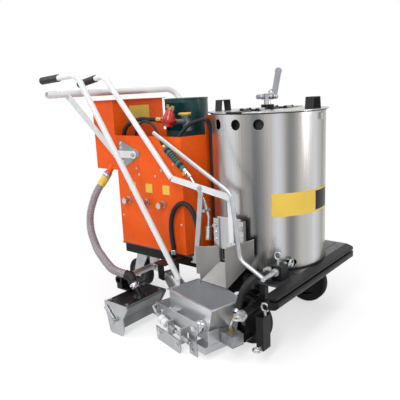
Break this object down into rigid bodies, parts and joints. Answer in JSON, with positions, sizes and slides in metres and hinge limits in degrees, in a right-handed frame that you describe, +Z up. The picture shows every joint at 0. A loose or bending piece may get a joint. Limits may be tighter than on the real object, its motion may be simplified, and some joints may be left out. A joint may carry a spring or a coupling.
{
  "type": "hand-pushed hot-melt line striping machine",
  "caption": "Hand-pushed hot-melt road line marker with stainless kettle, orange gas box, bead hopper, marking shoe and lift levers.",
  "frame": {"origin": "bottom centre of the whole machine, on the ground", "axes": "+X the way of travel, +Y to the left side of the machine, +Z up"},
  "size_m": [1.1879, 0.9166, 1.1134],
  "materials": {
    "black_paint": "semi-gloss black paint",
    "deck_paint": "smooth dark grey paint",
    "bright_steel": "zinc bright",
    "stainless": "brushed",
    "galvanised": "dull zinc",
    "pot_steel": "mill finish",
    "burner_iron": "as cast",
    "burner_metal": "dull",
    "gasket_rubber": "matte",
    "white_paint": "gloss white paint",
    "orange_paint": "gloss orange paint",
    "tag_yellow": "plain film",
    "bottle_paint": "grey paint",
    "collar_green": "gloss dark green paint",
    "regulator_red": "gloss red paint",
    "brass": "machined",
    "torch_plastic": "moulded",
    "hose_rubber": "matte",
    "bead_hose_clear": "milky",
    "tyre_rubber": "matte",
    "hub_black": "semi-gloss black",
    "grip_rubber": "matte"
  },
  "bodies": {
    "frame": {"chassis_rails": "black_paint", "deck_plate": "deck_paint", "front_bumper": "black_paint", "front_axle": "bright_steel", "outrigger": "black_paint", "kettle_jacket": "stainless", "kettle_pot": "pot_steel", "kettle_burner": "burner_iron", "lid_gasket": "gasket_rubber", "lid_bridge": "black_paint", "gate_frame": "stainless", "chute": "stainless", "fulcrum_post": "galvanised", "gas_box": "orange_paint", "label_plates": "tag_yellow", "bead_hopper": "orange_paint", "gas_bottle": "bottle_paint", "bottle_collar": "collar_green", "regulator": "regulator_red", "push_handle": "white_paint", "push_brace": "galvanised", "torch_handle": "torch_plastic", "torch_body": "bright_steel", "gas_hoses": "hose_rubber", "bead_hose": "bead_hose_clear", "cross_tube": "black_paint", "bead_trough": "galvanised", "trough_cover": "black_paint", "pointer_clamp": "black_paint", "fasteners": "bright_steel", "shoe_hanger": "black_paint"},
    "wheel_near": {"tyre_near": "tyre_rubber", "hub_near": "hub_black"},
    "wheel_far": {"tyre_far": "tyre_rubber", "hub_far": "hub_black"},
    "caster": {"caster_fork": "galvanised"},
    "caster_wheel": {"caster_tyre": "tyre_rubber", "caster_hub": "galvanised"},
    "front_lid": {"lid_front": "stainless", "lid_front_handle": "grip_rubber"},
    "rear_lid": {"lid_rear": "stainless", "lid_rear_handle": "grip_rubber"},
    "stirrer": {"agitator": "bright_steel", "agitator_crank": "bright_steel"},
    "gate_arm": {"gate_lever": "white_paint", "gate_grip": "grip_rubber"},
    "link": {"gate_link": "white_paint"},
    "gate": {"gate_plate": "stainless"},
    "shoe": {"shoe_hopper": "stainless", "shoe_frame": "galvanised", "shoe_lever": "white_paint", "shoe_grip": "grip_rubber", "shoe_burner": "burner_metal", "shoe_hose": "hose_rubber"},
    "pointer": {"guide_pointer": "galvanised"},
    "knob_rear": {"valve_knob_rear": "bright_steel"},
    "knob_mid": {"valve_knob_mid": "bright_steel"},
    "knob_front": {"valve_knob_front": "bright_steel"},
    "knob_regulator": {"regulator_knob": "brass"},
    "roller": {"bead_roller": "bright_steel"}
  },
  "joints": [
    {"name": "near_wheel_roll", "type": "hinge", "parent": "frame", "child": "wheel_near", "pos_m": [0.389, -0.1662, 0.103], "axis": [0, 1, 0], "continuous": true},
    {"name": "far_wheel_roll", "type": "hinge", "parent": "frame", "child": "wheel_far", "pos_m": [0.389, 0.3278, 0.103], "axis": [0, 1, 0], "continuous": true},
    {"name": "caster_swivel", "type": "hinge", "parent": "frame", "child": "caster", "pos_m": [-0.374, 0.0178, 0.225], "axis": [0, 0, 1], "continuous": true},
    {"name": "caster_roll", "type": "hinge", "parent": "caster", "child": "caster_wheel", "pos_m": [-0.424, 0.0178, 0.078], "axis": [0, 1, 0], "continuous": true},
    {"name": "front_lid_open", "type": "hinge", "parent": "frame", "child": "front_lid", "pos_m": [0.354, 0.1198, 0.929], "axis": [0, -1, 0], "range_deg": [0, 60]},
    {"name": "rear_lid_open", "type": "hinge", "parent": "frame", "child": "rear_lid", "pos_m": [0.278, 0.1198, 0.929], "axis": [0, 1, 0], "range_deg": [0, 60]},
    {"name": "stirrer_turn", "type": "hinge", "parent": "frame", "child": "stirrer", "pos_m": [0.316, 0.1198, 0.93], "axis": [0, 0, 1], "continuous": true},
    {"name": "gate_arm_swing", "type": "hinge", "parent": "frame", "child": "gate_arm", "pos_m": [0.174, -0.1802, 0.622], "axis": [0, 1, 0], "range_deg": [0, 22]},
    {"name": "link_swing", "type": "hinge", "parent": "gate_arm", "child": "link", "pos_m": [0.311, -0.1662, 0.6], "axis": [0, 1, 0], "range_deg": [-27.15, 0]},
    {"name": "gate_slide", "type": "slide", "parent": "frame", "child": "gate", "axis": [0, 0, -1], "range_m": [0, 0.04854]},
    {"name": "shoe_lift", "type": "hinge", "parent": "frame", "child": "shoe", "pos_m": [-0.01443, -0.19151, 0.222], "axis": [-0.2419, -0.9703, 0], "range_deg": [0, 3], "deforming": ["shoe_hose"]},
    {"name": "pointer_flip", "type": "hinge", "parent": "frame", "child": "pointer", "pos_m": [0.516, -0.1802, 0.325], "axis": [0, 1, 0], "range_deg": [0, 130]},
    {"name": "rear_valve_turn", "type": "hinge", "parent": "frame", "child": "knob_rear", "pos_m": [-0.324, -0.1452, 0.513], "axis": [0, -1, 0], "range_deg": [0, 180]},
    {"name": "mid_valve_turn", "type": "hinge", "parent": "frame", "child": "knob_mid", "pos_m": [-0.201, -0.1452, 0.513], "axis": [0, -1, 0], "range_deg": [0, 180]},
    {"name": "front_valve_turn", "type": "hinge", "parent": "frame", "child": "knob_front", "pos_m": [-0.097, -0.1452, 0.513], "axis": [0, -1, 0], "range_deg": [0, 180]},
    {"name": "regulator_turn", "type": "hinge", "parent": "frame", "child": "knob_regulator", "pos_m": [-0.0995, -0.0322, 0.95224], "axis": [0.2419, 0, 0.9703], "range_deg": [0, 180]},
    {"name": "roller_turn", "type": "hinge", "parent": "frame", "child": "roller", "pos_m": [-0.12, -0.3202, 0.066], "axis": [0, 1, 0], "range_deg": [0, 60]}
  ],
  "couplings": [
    {"joint": "gate_slide", "follows": "gate_arm_swing", "m_per_rad": 0.12641},
    {"joint": "link_swing", "follows": "gate_arm_swing", "ratio": -1.2342}
  ]
}
